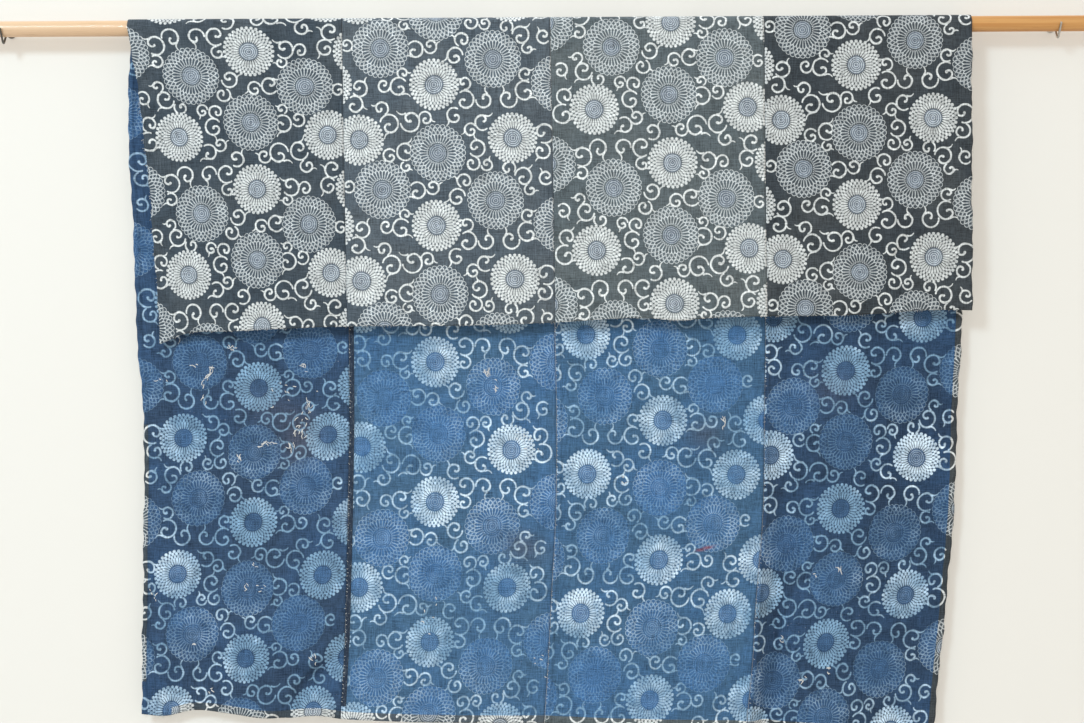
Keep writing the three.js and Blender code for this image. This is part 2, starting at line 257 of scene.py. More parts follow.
# Where more or less of the print has soaked through, in the same columns.
SOAK = (
    (70, 690, 50, 45, 0, 0.25), (40, 832, 48, 48, 0, 0.7), (110, 1040, 55, 40, 0, 0.35),
    (480, 500, 60, 60, 0, 0.5), (600, 655, 60, 55, 0, 0.5), (490, 730, 60, 55, 0, 0.3),
    (720, 690, 60, 55, 0, 0.5), (840, 605, 55, 55, 0, 0.3), (720, 900, 60, 55, 0, 0.35),
    (840, 815, 55, 50, 0, 0.3), (1245, 665, 55, 55, 0, 0.9), (1215, 870, 55, 50, 0, 0.5),
    (730, 480, 60, 50, 0, 0.35), (990, 960, 120, 8, 90, 0.5), (1250, 985, 30, 20, 30, 0.5),
    (1005, 610, 130, 40, 90, 0.3),
)
DIM = (
    (230, 560, 130, 70, 60, 0.55), (150, 800, 90, 60, 0, 0.5), (280, 880, 60, 90, 0, 0.45),
    (100, 520, 90, 60, 0, 0.4), (200, 940, 90, 60, 0, 0.3), (1090, 800, 60, 120, 0, 0.6),
    (1080, 520, 60, 70, 0, 0.3), (600, 960, 90, 60, 0, 0.3), (700, 1000, 90, 50, 0, 0.3),
    (930, 980, 60, 60, 0, 0.3), (300, 480, 60, 60, 0, 0.5), (1180, 1000, 70, 60, 0, 0.5),
)
# Painted shade in the folds and creases of the back, where some darker dye has also kept, and broad
# darker patches of dye.
FOLD_SHADE_AND_DARK_DYE = (
    (1014, 930, 130, 8, 90, 0.8), (1028, 800, 90, 12, 92, 0.4), (298, 985, 60, 9, 140, 0.6),
    (235, 600, 90, 40, 100, 0.3), (150, 740, 90, 40, 20, 0.25), (1180, 720, 80, 30, 20, 0.3),
    (690, 760, 60, 16, 4, 0.25), (880, 640, 50, 40, 0, 0.35), (600, 800, 50, 30, 20, 0.3),
    (1205, 590, 110, 80, 20, 0.42), (1235, 770, 110, 50, 0, 0.4), (1130, 690, 70, 50, 0, 0.3),
    (1190, 930, 90, 70, 0, 0.3), (130, 570, 120, 80, 0, 0.35), (60, 760, 60, 50, 0, 0.25),
    (190, 990, 120, 40, 0, 0.3), (30, 990, 60, 40, 0, 0.25),
)
RED_MARKS = ((888, 808, 17, 2.6, -14, 1.0),)
BROWN_MARKS = (
    (600, 805, 34, 22, 20, 0.7), (1090, 560, 40, 30, 0, 0.4), (330, 760, 30, 20, 0, 0.3),
    (250, 640, 40, 30, 110, 0.7), (885, 630, 30, 22, 0, 0.6), (210, 590, 60, 30, 20, 0.4),
)

# Threads: the sides of their tubes, their thickness along a stitch, a fibre and a yarn, how far a
# stitch stands off the cloth's middle, and the stitches' spacing, span and share that is left.
THREAD_SIDES = 5
STITCH_TAPER = np.array([0.4, 0.9, 1.0, 0.9, 0.4])
FIBRE_TAPER = np.array([1.0, 1.0, 0.95, 0.9, 0.75, 0.35])
YARN_TAPER = np.array([0.4, 0.9, 1.0, 1.0, 0.9, 0.4])
STITCH_STAND = 1.75
SEAM_PITCH = 6.2
SEAM_SPAN = (30, 1052)
SEAM_KEPT = 0.72
HEM_PITCH = 9.0
HEM_MARGIN = 14
# Where fibres stand out of worn edges. Columns: share across the cloth, run at the start and the
# end, how many, the longest.
FRAYED_SIDES = (
    (1.0, -470, -60, 150, 5.0), (0.0, -480, -120, 70, 3.5), (1.0, 340, 1100, 190, 4.5),
    (0.0, 330, 1070, 120, 3.5),
)
# Frayed hems. Columns: which side of the rod, from and to across the cloth, how many, the longest.
FRAYED_HEMS = ((-1, 6, 1290, 150, 3.0), (1, 50, 1290, 190, 3.2), (1, 2, 52, 60, 6.5))
# Single loose threads. Columns: which side, across, length, sway.
LOOSE_THREADS = (
    (1, 58, 26, 5), (1, 62, 17, -4), (1, 142, 24, -6), (1, 300, 15, 4), (1, 306, 9, -3),
    (-1, 30, 12, 3), (-1, 652, 10, -2), (1, 760, 10, 3), (-1, 1290, 14, 4), (1, 1288, 16, -4),
)

# The rod and the hooks. A collar's columns: depth from the wall and radius.
ROD_CHAMFER = 1.5
WIRE_RADIUS = 1.6
TIP_RADII = (0.05, 1.1, 1.5)
HOOK_HALF_ANGLE = math.radians(35)
HOOK_BEND = 7.0
COLLAR = ((-2.0, 0.05), (-1.98, 6.4), (-1.4, 7.0), (-0.02, 7.0), (0.0, 0.05))

# The stage, in metres.
CLOTH_MIDDLE = (0, 0, -0.45)
FLOOR_Z = -1.8
FLOOR_REACH = 6
WALL_Y = 0.001
WALL_REACH = 4
WALL_TOP = 2.4
CAMERA_X = 0.01465
CAMERA_Z = -0.5169


def hermite(table, at):
    """Reads a table at any value of its first column.

    Between two rows it is the cubic whose slope at a row is the mean of the slopes on either side.
    """
    keys, values = table[:, 0], table[:, 1:]
    spans = np.diff(keys)
    slopes = np.diff(values, axis=0) / spans[:, None]
    tangents = np.vstack([slopes[:1], (slopes[1:] + slopes[:-1]) / 2, slopes[-1:]])
    at = np.clip(at, keys[0], keys[-1])
    i = np.clip(np.searchsorted(keys, at, side="right") - 1, 0, len(keys) - 2)
    span = spans[i][..., None]
    t = (at - keys[i])[..., None] / span
    rise = t * t * (3 - 2 * t)
    start = t * (1 - t) ** 2 * span * tangents[i]
    end = t * t * (t - 1) * span * tangents[i + 1]
    return values[i] * (1 - rise) + values[i + 1] * rise + start + end


def smoothstep(value, low, high):
    """Rises from 0 at low to 1 at high, level at both ends."""
    t = np.clip((value - low) / (high - low), 0, 1)
    return t * t * (3 - 2 * t)


def hang_x(levels, across, drop):
    """The x of a place across the cloth, between the two edges of the panel it lies in."""
    index = np.clip(np.searchsorted(PANEL_STARTS, across, side="right") - 1, 0, 3)
    share = (across - PANEL_STARTS[index]) / PANEL_WIDTHS[index]
    row = hermite(levels, drop)
    left = np.take_along_axis(row, index[..., None], -1)[..., 0]
    right = np.take_along_axis(row, index[..., None] + 1, -1)[..., 0]
    return left + (right - left) * share


def fold_depth(folds, across, drop, hem):
    """The sum of the folds: each a bell curve across, growing from where it starts to the hem."""
    total = np.zeros_like(across)
    for at, start, lean, width, depth in folds:
        centre = at + lean * (drop - start)
        profile = np.exp(-(((across - centre) / width) ** 2))
        total += depth * profile * smoothstep(drop, start, hem)
    return total


def spots(marks, across, drop):
    """The sum of soft oval marks or creases, each a bell curve both ways, turned by its own angle."""
    total = np.zeros_like(across)
    for at, level, length, width, angle, amount in marks:
        turn = math.radians(angle)
        along = (across - at) * math.cos(turn) + (drop - level) * math.sin(turn)
        aside = (drop - level) * math.cos(turn) - (across - at) * math.sin(turn)
        total += amount * np.exp(-((along / length) ** 2) - (aside / width) ** 2)
    return total


def seam_pucker(across, run):
    """Small puckers beside the seams: waves along the seam that die away on either side of it."""
    total = np.zeros_like(across)
    for number, seam in enumerate(PANEL_STARTS[1:-1]):
        wave = np.sin(run / 3.1 + 1.7 * np.sin(run / 23 + number)) * (0.6 + 0.4 * np.sin(run / 41))
        total += 0.55 * wave * np.exp(-(((across - seam) / 10) ** 2))
    return total


def undulation(across, run):
    """Shallow unevenness of hand-loomed cloth, from a few crossing waves."""
    return (
        0.8 * np.sin(across / 31 + 0.8 * np.sin(run / 57))
        + 0.6 * np.sin(run / 29 + across / 83 + 1.3)
        + 0.4 * np.sin(across / 13 - run / 37 + 0.4)
    )


def hem_drop(front, across):
    """How far the hem lies below the rod's axis: of the flap where front is true, or of the back."""
    return np.where(front, hermite(FRONT_HEM, across)[..., 0], hermite(BACK_HEM, across)[..., 0])


def cloth_surface(across, run):
    """The cloth's middle surface, in millimetres.

    run is the way along the cloth from the top of the rod: negative down the front flap, positive
    down the back. The cloth turns half round the rod, then hangs straight, with the folds, creases
    and puckers added in depth.
    """
    drop = np.abs(run) - QUARTER_WRAP
    hanging = np.clip(drop, 0, None)
    front = run < 0
    front_hem, back_hem = hem_drop(True, across), hem_drop(False, across)
    near = np.clip(1 - across / LEFT_CURL_REACH, 0, 1) ** 1.6
    curl = LEFT_CURL_DEPTH * near * smoothstep(hanging, 0, front_hem)
    folds = np.where(
        front,
        fold_depth(FRONT_FOLDS, across, hanging, front_hem) + curl,
        fold_depth(BACK_FOLDS, across, hanging, back_hem),
    )
    fine = np.where(
        front, spots(FRONT_CREASES, across, hanging), spots(BACK_CREASES, across, hanging)
    )
    fine = (fine + seam_pucker(across, run) + undulation(across, run)) * smoothstep(drop, 5, 90)
    x = np.where(
        front, hang_x(FRONT_LEVELS, across, hanging), hang_x(BACK_LEVELS, across, hanging)
    )
    ragged = 0.7 * np.sin(run / 9.7) + 0.6 * np.sin(run / 23 + 1) + 0.5 * np.sin(run / 4.3 + 2)
    edge = np.exp(-across / 6) - np.exp(-(CLOTH_WIDTH - across) / 6)
    x = x + ragged * edge * smoothstep(drop, 5, 60)
    turn = np.clip(run / WRAP_RADIUS, -math.pi / 2, math.pi / 2)
    y = ROD_Y + WRAP_RADIUS * np.sin(turn) + folds + fine
    z = np.where(drop > 0, -hanging, WRAP_RADIUS * np.cos(turn))
    return np.stack([x, y, z], axis=-1)


def cloth_normal(across, run):
    """The unit normal on the printed side: the cross product of the slopes along and across."""
    step = 0.6
    over = cloth_surface(across + step, run) - cloth_surface(across - step, run)
    up = cloth_surface(across, run + step) - cloth_surface(across, run - step)
    normal = np.cross(over, up)
    return normal / np.linalg.norm(normal, axis=-1, keepdims=True)


def vine_strokes():
    """The vine as arcs: one row of centre, radius, middle angle, half sweep and two half widths.

    A scroll winds in on circles of falling size, each touching the one before from inside, and ends
    in a bead. A spur leaves it outwards on a circle that touches it from outside.
    """
    rows = []

    def way(angle):
        return np.array([math.cos(angle), math.sin(angle)])

    def arc(centre, radius, start, sweep, first, last):
        widths = (first, last) if sweep > 0 else (last, first)
        rows.append((*centre, radius, start + sweep / 2, abs(sweep) / 2, *widths))

    for across, along, radius, start, winding, spur in SCROLLS:
        centre = np.array([across, along], dtype=float)
        hand = math.copysign(1, winding)
        at = math.radians(start)
        if spur:
            leaves = at + hand * math.radians(spur)
            spur_radius = 0.68 * radius
            spur_centre = centre + (radius + spur_radius) * way(leaves)
            arc(spur_centre, spur_radius, leaves + math.pi, -hand * 1.5, STROKE * 0.95, 0.65)
        size = radius
        width = 0.8 * STROKE
        for share, part in SCROLL_TURNS:
            centre = centre + (size - share * radius) * way(at)
            size = share * radius
            sweep = math.radians(winding * part)
            arc(centre, size, at, sweep, width, STROKE)
            width = STROKE
            at += sweep
        bead = 1.25 + 0.05 * radius
        arc(centre + (size - 0.4) * way(at), 0.2, 0.0, 6.0, bead, bead)
    return np.array(rows)


def near_repeat(value):
    """How many whole repeats lie between a place and the nearest copy of a motif."""
    return np.round(value / REPEAT)


def flower_marks(centres, corners):
    """Each face's nearest flower, as corner coordinates from its centre in radii, and its kind."""
    dx = centres[:, None, 0] - FLOWERS[None, :, 0]
    dy = centres[:, None, 1] - FLOWERS[None, :, 1]
    copies = near_repeat(dy)
    chosen = np.argmin(np.hypot(dx, dy - REPEAT * copies) / FLOWERS[None, :, 2], axis=1)
    copy = np.take_along_axis(copies, chosen[:, None], 1)
    flower = FLOWERS[chosen]
    x = (corners[..., 0] - flower[:, 0:1]) / flower[:, 2:3]
    y = (corners[..., 1] - flower[:, 1:2] - REPEAT * copy) / flower[:, 2:3]
    kind = np.broadcast_to(flower[:, 3:4], x.shape)
    return np.stack([x, y, kind], axis=-1)


def stroke_marks(centres, corners, strokes):
    """Each face's nearest vine arcs, nearest first.

    An arc is given as corner coordinates from its centre, turned so that the arc's middle lies on
    the first axis, with its radius, and as its half sweep and two half widths for the whole face.
    """
    layers = len(STROKE_LAYERS)
    chosen = np.empty((len(centres), layers), dtype=int)
    for part in np.array_split(np.arange(len(centres)), max(1, len(centres) // 6000)):
        dx = centres[part, None, 0] - strokes[None, :, 0]
        dy = centres[part, None, 1] - strokes[None, :, 1]
        dy = dy - REPEAT * near_repeat(dy)
        angle = np.arctan2(dy, dx) - strokes[None, :, 3]
        angle = np.arctan2(np.sin(angle), np.cos(angle))
        held = np.clip(angle, -strokes[None, :, 4], strokes[None, :, 4])
        distance = np.hypot(dx, dy)
        gap = np.sqrt(
            distance**2 + strokes[None, :, 2] ** 2
            - 2 * distance * strokes[None, :, 2] * np.cos(angle - held)
        )
        gap -= strokes[None, :, 5:7].mean(axis=-1)
        chosen[part] = np.argsort(gap, axis=1)[:, :layers]
    marks = []
    for layer in range(layers):
        row = strokes[chosen[:, layer]]
        copy = near_repeat(centres[:, 1] - row[:, 1])[:, None]
        dx = corners[..., 0] - row[:, 0:1]
        dy = corners[..., 1] - row[:, 1:2] - REPEAT * copy
        cosine, sine = np.cos(row[:, 3:4]), np.sin(row[:, 3:4])
        x = dx * cosine + dy * sine
        y = dy * cosine - dx * sine
        radius = np.broadcast_to(row[:, 2:3], x.shape)
        marks.append((np.stack([x, y, radius], axis=-1), row[:, 4:7]))
    return marks


def new_mesh(name, points, quads):
    """A mesh object from an array of points and an array of four-cornered faces."""
    mesh = bpy.data.meshes.new(name)
    mesh.vertices.add(len(points))
    mesh.vertices.foreach_set("co", np.asarray(points, dtype=np.float32).ravel())
    mesh.loops.add(quads.size)
    mesh.loops.foreach_set("vertex_index", quads.astype(np.int32).ravel())
    mesh.polygons.add(len(quads))
    mesh.polygons.foreach_set("loop_start", np.arange(0, quads.size, 4, dtype=np.int32))
    mesh.update(calc_edges=True)
    mesh.polygons.foreach_set("use_smooth", np.ones(len(quads), dtype=bool))
    mesh.validate()
    thing = bpy.data.objects.new(name, mesh)
    bpy.context.scene.collection.objects.link(thing)
    return thing


def set_marks(mesh, name, domain, values):
    """Stores an array of vectors as a named attribute of a mesh."""
    layer = mesh.attributes.new(name, "FLOAT_VECTOR", domain)
    layer.data.foreach_set("vector", np.asarray(values, dtype=np.float32).ravel())


def grid_quads(columns, rows, flip=False):
    """The faces of a grid of points that is stored column by column."""
    index = np.arange(columns * rows).reshape(columns, rows)
    corners = [index[:-1, :-1], index[1:, :-1], index[1:, 1:], index[:-1, 1:]]
    if flip:
        corners.reverse()
    return np.stack(corners, axis=-1).reshape(-1, 4)


def sweep(path, radii, sides):
    """Points and faces of a closed tube: a circle carried along a path, with its ends drawn in.

    The circle's two axes are the path's normals, kept from turning by projecting a fixed direction.
    """
    path = np.asarray(path, dtype=float)
    radii = np.broadcast_to(radii, len(path)).astype(float)
    tangent = np.gradient(path, axis=0)
    tangent /= np.linalg.norm(tangent, axis=1, keepdims=True)
    fixed = np.eye(3)[int(np.argmin(np.ptp(path, axis=0)))]
    side = np.cross(tangent, fixed)
    side /= np.linalg.norm(side, axis=1, keepdims=True)
    other = np.cross(tangent, side)
    turn = np.arange(sides) * 2 * math.pi / sides
    ring = side[:, None] * np.cos(turn)[:, None] + other[:, None] * np.sin(turn)[:, None]
    points = path[:, None] + ring * radii[:, None, None]
    index = np.arange(len(path) * sides).reshape(len(path), sides)
    after = np.roll(index, -1, axis=1)
    quads = np.stack([index[:-1], index[1:], after[1:], after[:-1]], axis=-1).reshape(-1, 4)
    return points.reshape(-1, 3), quads


class Shade:
    """A value in a material. Arithmetic on it adds Math nodes to the material."""

    def __init__(self, finish, socket):
        self.finish = finish
        self.socket = socket

    def math(self, operation, *others, clamp=False):
        settings = {"operation": operation, "use_clamp": clamp}
        return self.finish.add("ShaderNodeMath", settings, [self, *others])

    def __add__(self, other):
        return self.math("ADD", other)

    __radd__ = __add__

    def __mul__(self, other):
        return self.math("MULTIPLY", other)

    def __sub__(self, other):
        return self.math("SUBTRACT", other)

    def __rsub__(self, other):
        return self.finish.add("ShaderNodeMath", {"operation": "SUBTRACT"}, [other, self])

    def __truediv__(self, other):
        return self.math("DIVIDE", other)

    def limit(self):
        return self.math("ADD", 0.0, clamp=True)

    def most(self, other):
        return self.math("MAXIMUM", other)

    def least(self, other):
        return self.math("MINIMUM", other)


class Finish:
    """A material under construction: adds nodes and links their sockets."""

    def __init__(self, name):
        self.material = bpy.data.materials.new(name)
        self.material.use_nodes = True
        self.tree = self.material.node_tree
        self.tree.nodes.clear()
        self.output = self.tree.nodes.new("ShaderNodeOutputMaterial")

    def add(self, kind, settings=None, sockets=(), out=0):
        """Adds a node, sets its settings, then gives its sockets values or links."""
        node = self.tree.nodes.new(kind)
        for key, value in (settings or {}).items():
            setattr(node, key, value)
        pairs = sockets.items() if isinstance(sockets, dict) else enumerate(sockets)
        for key, value in pairs:
            if isinstance(value, Shade):
                self.tree.links.new(value.socket, node.inputs[key])
            else:
                node.inputs[key].default_value = value
        return Shade(self, node.outputs[out])

    def mix(self, factor, first, second):
        """A colour between two others."""
        sockets = {0: factor, 6: first, 7: second}
        return self.add("ShaderNodeMix", {"data_type": "RGBA"}, sockets, out=2)

    def parts(self, vector):
        """The three parts of a vector as values."""
        node = self.add("ShaderNodeSeparateXYZ", None, [vector]).socket.node
        return [Shade(self, socket) for socket in node.outputs]

    def attribute(self, name):
        """The three parts of one of the mesh's own attributes."""
        return self.parts(self.add("ShaderNodeAttribute", {"attribute_name": name}, out="Vector"))

    def cloth_place(self):
        """The way across and along the cloth, in metres."""
        return self.add("ShaderNodeUVMap", {"uv_map": "cloth"})

    def object_place(self):
        return self.add("ShaderNodeTexCoord", out="Object")

    def noise(self, vector, scale, detail=2.0, roughness=0.5):
        sockets = {"Vector": vector, "Scale": scale, "Detail": detail, "Roughness": roughness}
        return self.add("ShaderNodeTexNoise", None, sockets)

    def streaks(self, vector, scales, detail=2.0, roughness=0.5):
        """Noise with its own scale in each direction."""
        vector = self.add("ShaderNodeMapping", None, {"Vector": vector, "Scale": scales})
        return self.noise(vector, 1.0, detail, roughness)

    def bump(self, height, strength, distance):
        sockets = {"Strength": strength, "Distance": distance, "Height": height}
        return self.add("ShaderNodeBump", None, sockets)

    def surface(self, base, roughness, bump=None, **constants):
        """Ends the material in a Principled shader. A constant's underscores stand for spaces."""
        sockets = {"Base Color": base, "Roughness": roughness}
        sockets.update((name.replace("_", " "), value) for name, value in constants.items())
        if bump is not None:
            sockets["Normal"] = bump
        return self.end(self.add("ShaderNodeBsdfPrincipled", None, sockets))

    def end(self, shader):
        self.tree.links.new(shader.socket, self.output.inputs["Surface"])
        return self.material


def linear(red, green, blue):
    """A linear colour from one given in steps of 255."""
    parts = (value / 255 for value in (red, green, blue))
    return (*(((c + 0.055) / 1.055) ** 2.4 if c > 0.04 else c / 12.92 for c in parts), 1.0)


def colour_setting(name, description, *steps):
    """A colour property, with its default in steps of 255."""
    return FloatVectorProperty(
        name=name, description=description, subtype="COLOR", default=linear(*steps)[:3]
    )


class CoverSettings(PropertyGroup):
    """The cloth's grid and its colours."""

    grid: FloatProperty(
        name="Grid", description="Spacing of the cloth's points", default=4.0 * MM,
        min=2.0 * MM, unit="LENGTH",
    )
    white: colour_setting("Resist white", "Undyed cotton on the printed side", 221, 223, 223)
    grey: colour_setting("Half-dyed grey", "Lines of the grey flowers", 232, 236, 238)
    pale: colour_setting("Soaked white", "The pattern on the plain side", 208, 224, 238)
    faint: colour_setting("Soaked pale blue", "The pattern where less shows", 142, 178, 208)
    wash: colour_setting("Soaked blue", "Blue soaked through to the plain side", 64, 106, 156)
    worn: colour_setting("Worn yarn", "Bare yarn at worn places", 232, 220, 208)


class HangerSettings(PropertyGroup):
    """The rod's and hooks' facets and colours."""

    sides: IntProperty(name="Sides", description="Facets round the rod", default=72, min=24)
    pine: colour_setting("Pine", "Pale wood of the rod", 212, 156, 92)
    grain: colour_setting("Grain", "Darker grain of the rod", 182, 116, 50)
    steel: colour_setting("Steel", "Bare wire of the hooks", 190, 184, 176)


class StageSettings(PropertyGroup):
    """The camera's lens and distance, and the stage's light and colour."""

    lens: FloatProperty(
        name="Lens", description="Focal length in millimetres", default=50.0, min=10.0,
    )
    distance: FloatProperty(
        name="Distance", description="Camera to rod", default=2.3216, unit="LENGTH",
    )
    roll: FloatProperty(
        name="Roll", description="Turn about the line of sight", default=0.0055, unit="ROTATION",
    )
    key: FloatProperty(
        name="Key light", description="Power of the large soft light", default=92.0, unit="POWER",
    )
    back: FloatProperty(
        name="Back light", description="Power of the light behind", default=220.0, unit="POWER",
    )
    sky: FloatProperty(
        name="Sky", description="Strength of the even light", default=0.87, min=0.0,
    )
    sky_colour: FloatVectorProperty(
        name="Sky colour", description="Colour of the even light",
        subtype="COLOR", default=(1.0, 0.938, 0.85),
    )
    floor: colour_setting("Floor", "Colour of the floor and the backdrop", 240, 238, 233)


# Dye of each panel: ground on the printed side, ground on the plain side, how much of the white is
# left on the printed side, how much more of the print has soaked through, and the share of blue in
# what has.
PANEL_DYES = (
    ((69, 79, 89), (54, 73, 98), 0.91, 0.10, 0.62),
    ((88, 98, 108), (71, 102, 132), 1.0, 0.20, 0.95),
    ((96, 105, 110), (68, 99, 129), 0.98, 0.12, 0.95),
    ((65, 71, 77), (49, 68, 93), 0.89, 0.10, 0.55),
)
ALLOWANCE_DYE = (44, 54, 70)
# How far the print wanders, in millimetres, and the share of that which a flower and a vine take.
HAND_CUT = 3.2
FLOWER_DRIFT = 0.02
VINE_DRIFT = 0.5
DULL_CLOTH = {"Specular_IOR_Level": 0.1}


def hand_cut(finish, place):
    """Two small wandering shifts, in millimetres, that make the print look cut by hand."""
    drift = finish.add("ShaderNodeTexNoise", None, {"Vector": place, "Scale": 45.0}, out="Color")
    across, along, _ = finish.parts(drift)
    return (across - 0.5) * HAND_CUT, (along - 0.5) * HAND_CUT


def flower_masks(finish, drift):
    """The flower motif in polar coordinates.

    Petals are rounded shapes in cells of equal angle: long ones round the middle, then three
    staggered rows of short ones. A white flower fills its petals, and a grey one draws their
    outlines. The middle is a disc of fine rings.
    Returns petals, middle, rings, disc and kind.
    """
    x, y, kind = finish.attribute("flower")
    x = x + drift[0] * FLOWER_DRIFT
    y = y + drift[1] * FLOWER_DRIFT
    radius = (x * x + y * y).math("SQRT")
    angle = y.math("ARCTAN2", x) * (PETALS / (2 * math.pi))
    cells = [angle.math("FRACT") - 0.5, (angle + 0.5).math("FRACT") - 0.5]
    petals = None
    for middle, half, stagger, edge, fineness in PETAL_ROWS:
        along = (radius - middle) / half
        aside = cells[stagger] / (along * 0.07 + 0.5)
        along = along * along
        if petals is None:
            along = along * along
        shape = (aside * aside + along).math("SQRT")
        filled = ((edge - shape) * 4.8).limit()
        line = (1.0 - ((shape - PETAL_OUTLINE).math("ABSOLUTE") * fineness)).limit()
        petal = line + (filled - line) * kind
        petals = petal if petals is None else petals.most(petal)
    middle = ((0.315 + kind * 0.05 - radius) * 40).limit()
    rings = (radius * (2 * math.pi / RING_SPACING)).math("COSINE") * 0.5 + 0.5
    disc = ((1.0 - radius) * 30).limit()
    return petals * (1.0 - middle), middle, rings, disc, kind


def vine_mask(finish, place, drift, soft, weight):
    """The vine: the distance to each of a face's nearest arcs, against the arc's own half width."""
    weight = (finish.noise(place, 130.0, 1.0) * 0.9 + 0.55) * weight
    mask = None
    for letter in STROKE_LAYERS:
        x, y, radius = finish.attribute(f"stroke_{letter}")
        half, first, last = finish.attribute(f"sweep_{letter}")
        x = x + drift[0] * VINE_DRIFT
        y = y + drift[1] * VINE_DRIFT
        angle = y.math("ARCTAN2", x)
        held = angle.most(half * -1.0).least(half)
        dx = x - radius * held.math("COSINE")
        dy = y - radius * held.math("SINE")
        gap = (dx * dx + dy * dy).math("SQRT")
        share = (held / half) * 0.5 + 0.5
        width = (first + (last - first) * share) * weight
        stroke = ((width - gap) / soft + 0.5).limit()
        mask = stroke if mask is None else mask.most(stroke)
    return mask


def cloth_finish(name, settings, dye, printed, whiteness, soaking, blue):
    """Resist-dyed cotton: the print on the ground, with uneven dye, slubs and wear.

    On the printed side the ground is clouded and the print is clear. On the plain side the print
    shows where it has soaked through, in washes of blue, with painted shade in folds and creases,
    darker patches of dye, bare yarn and stains.
    """
    finish = Finish(name)
    place = finish.cloth_place()
    drift = hand_cut(finish, place)
    petals, middle, rings, disc, kind = flower_masks(finish, drift)
    vine = vine_mask(finish, place, drift, 0.8 if printed else 1.4, 1.0 if printed else 0.95)
    vine = vine * (1.0 - disc)
    warp = finish.streaks(place, (620, 45, 1), 3.0, 0.65)
    weft = finish.streaks(place, (45, 620, 1), 3.0, 0.65)
    yarn = warp + weft - 1.0
    cloud = finish.noise(place, 9.0, 4.0, 0.6)
    speckle = finish.noise(place, 380.0, 2.0, 0.6)
    blotch = finish.noise(place, 34.0, 3.0, 0.6)
    if printed:
        white, grey = (
            (*(whiteness * c for c in part), 1.0) for part in (settings.white, settings.grey)
        )
        warm = linear(*(0.78 * c + 0.22 * w for c, w in zip(dye, (108, 102, 92))))
        base = finish.mix(((cloud - 0.44) * 3.0).limit(), linear(*(0.92 * c for c in dye)), warm)
        base = finish.mix(disc * (1.0 - kind) * 0.1, base, linear(126, 140, 154))
        figure = finish.mix(kind, grey, white)
        dark_ring, light_ring = linear(80, 93, 110), linear(210, 216, 222)
        heart = finish.mix(rings * (0.62 + kind * 0.2), dark_ring, light_ring)
        base = finish.mix(petals * (0.98 - speckle * 0.14), base, figure)
        base = finish.mix(middle, base, heart)
        base = finish.mix(vine * 0.96, base, white)
    else:
        wash = (*settings.wash, 1.0)
        worn, red, brown = finish.attribute("wear")
        patch = finish.noise(place, 6.0, 3.0, 0.55)
        # The soak attribute's parts: more print soaked through, less soaked through, and painted shade
        # in the folds and creases with darker dye.
        soak, dim, dark = finish.attribute("soak")
        soak = ((patch - 0.46) * 2.4 + (blotch - 0.5) * 1.2 + soaking + soak - dim).limit()
        base = finish.mix(((cloud - 0.42) * 2.8).limit() * 0.62 * blue, linear(*dye), wash)
        filled = disc * (1.0 - kind) + middle * kind
        base = finish.mix((filled * (0.2 + cloud * 0.8)).limit() * blue, base, wash)
        # Painted shade in the back's folds and creases, with some darker dye, drawn towards dark blue.
        base = finish.mix(dark.least(1.0) * 0.75, base, linear(36, 47, 65))
        figure = finish.mix(soak, (*settings.faint, 1.0), (*settings.pale, 1.0))
        strength = kind * (0.68 + soak * 0.34) + (1.0 - kind) * (0.34 + soak * 0.4)
        strength = strength * (0.62 + blotch * 0.76)
        base = finish.mix((petals * strength).limit(), base, figure)
        base = finish.mix(middle * rings * (0.12 + soak * 0.3), base, figure)
        base = finish.mix(vine * (0.62 + soak * 0.4) * (0.6 + blotch * 0.8), base, figure)
        bare = ((speckle + cloud * 0.3 - 0.86) * 9.0).limit() * 0.4
        fleck = ((speckle + worn * 0.45 - 0.84) * 6.0).limit() * worn.least(1.0)
        base = finish.mix(bare.most(fleck), base, (*settings.worn, 1.0))
        base = finish.mix((red * 1.3 - speckle * 0.4).limit() * 0.75, base, linear(150, 52, 44))
        base = finish.mix(brown * cloud * 0.6, base, linear(112, 98, 86))
    shade = yarn * 1.7 + (speckle - 0.5) * 0.7 + (blotch - 0.5) * 0.7
    base = finish.add("ShaderNodeHueSaturation", None, {"Value": shade + 1.0, "Color": base})
    bump = finish.bump(yarn * 0.6 + speckle * 0.4, 0.35, 0.0006)
    return finish.surface(
        base, 0.88 + speckle * 0.1, bump, **DULL_CLOTH, Sheen_Weight=0.04, Sheen_Roughness=0.5
    )


def selvage_finish(name, colour):
    """The seam allowance: close dark weave with bare specks."""
    finish = Finish(name)
    place = finish.cloth_place()
    weave = finish.streaks(place, (300, 90, 1), 3.0, 0.7)
    speckle = finish.noise(place, 330.0, 2.0, 0.6)
    light = linear(128, 138, 150)
    base = finish.mix(((weave - 0.5) * 2.4).limit() * 0.6, linear(*colour), light)
    base = finish.mix(((speckle - 0.64) * 8.0).limit() * 0.6, base, linear(205, 204, 198))
    return finish.surface(base, 0.9, finish.bump(weave, 0.4, 0.0006), **DULL_CLOTH)


def thread_finish(name, colour):
    """Spun cotton thread, lighter and darker along its length."""
    finish = Finish(name)
    spun = finish.noise(finish.object_place(), 700.0, 2.0, 0.6)
    dark = linear(*(0.84 * part for part in colour))
    base = finish.mix(((spun - 0.4) * 3.0).limit(), dark, linear(*colour))
    return finish.surface(base, 0.9, **DULL_CLOTH)


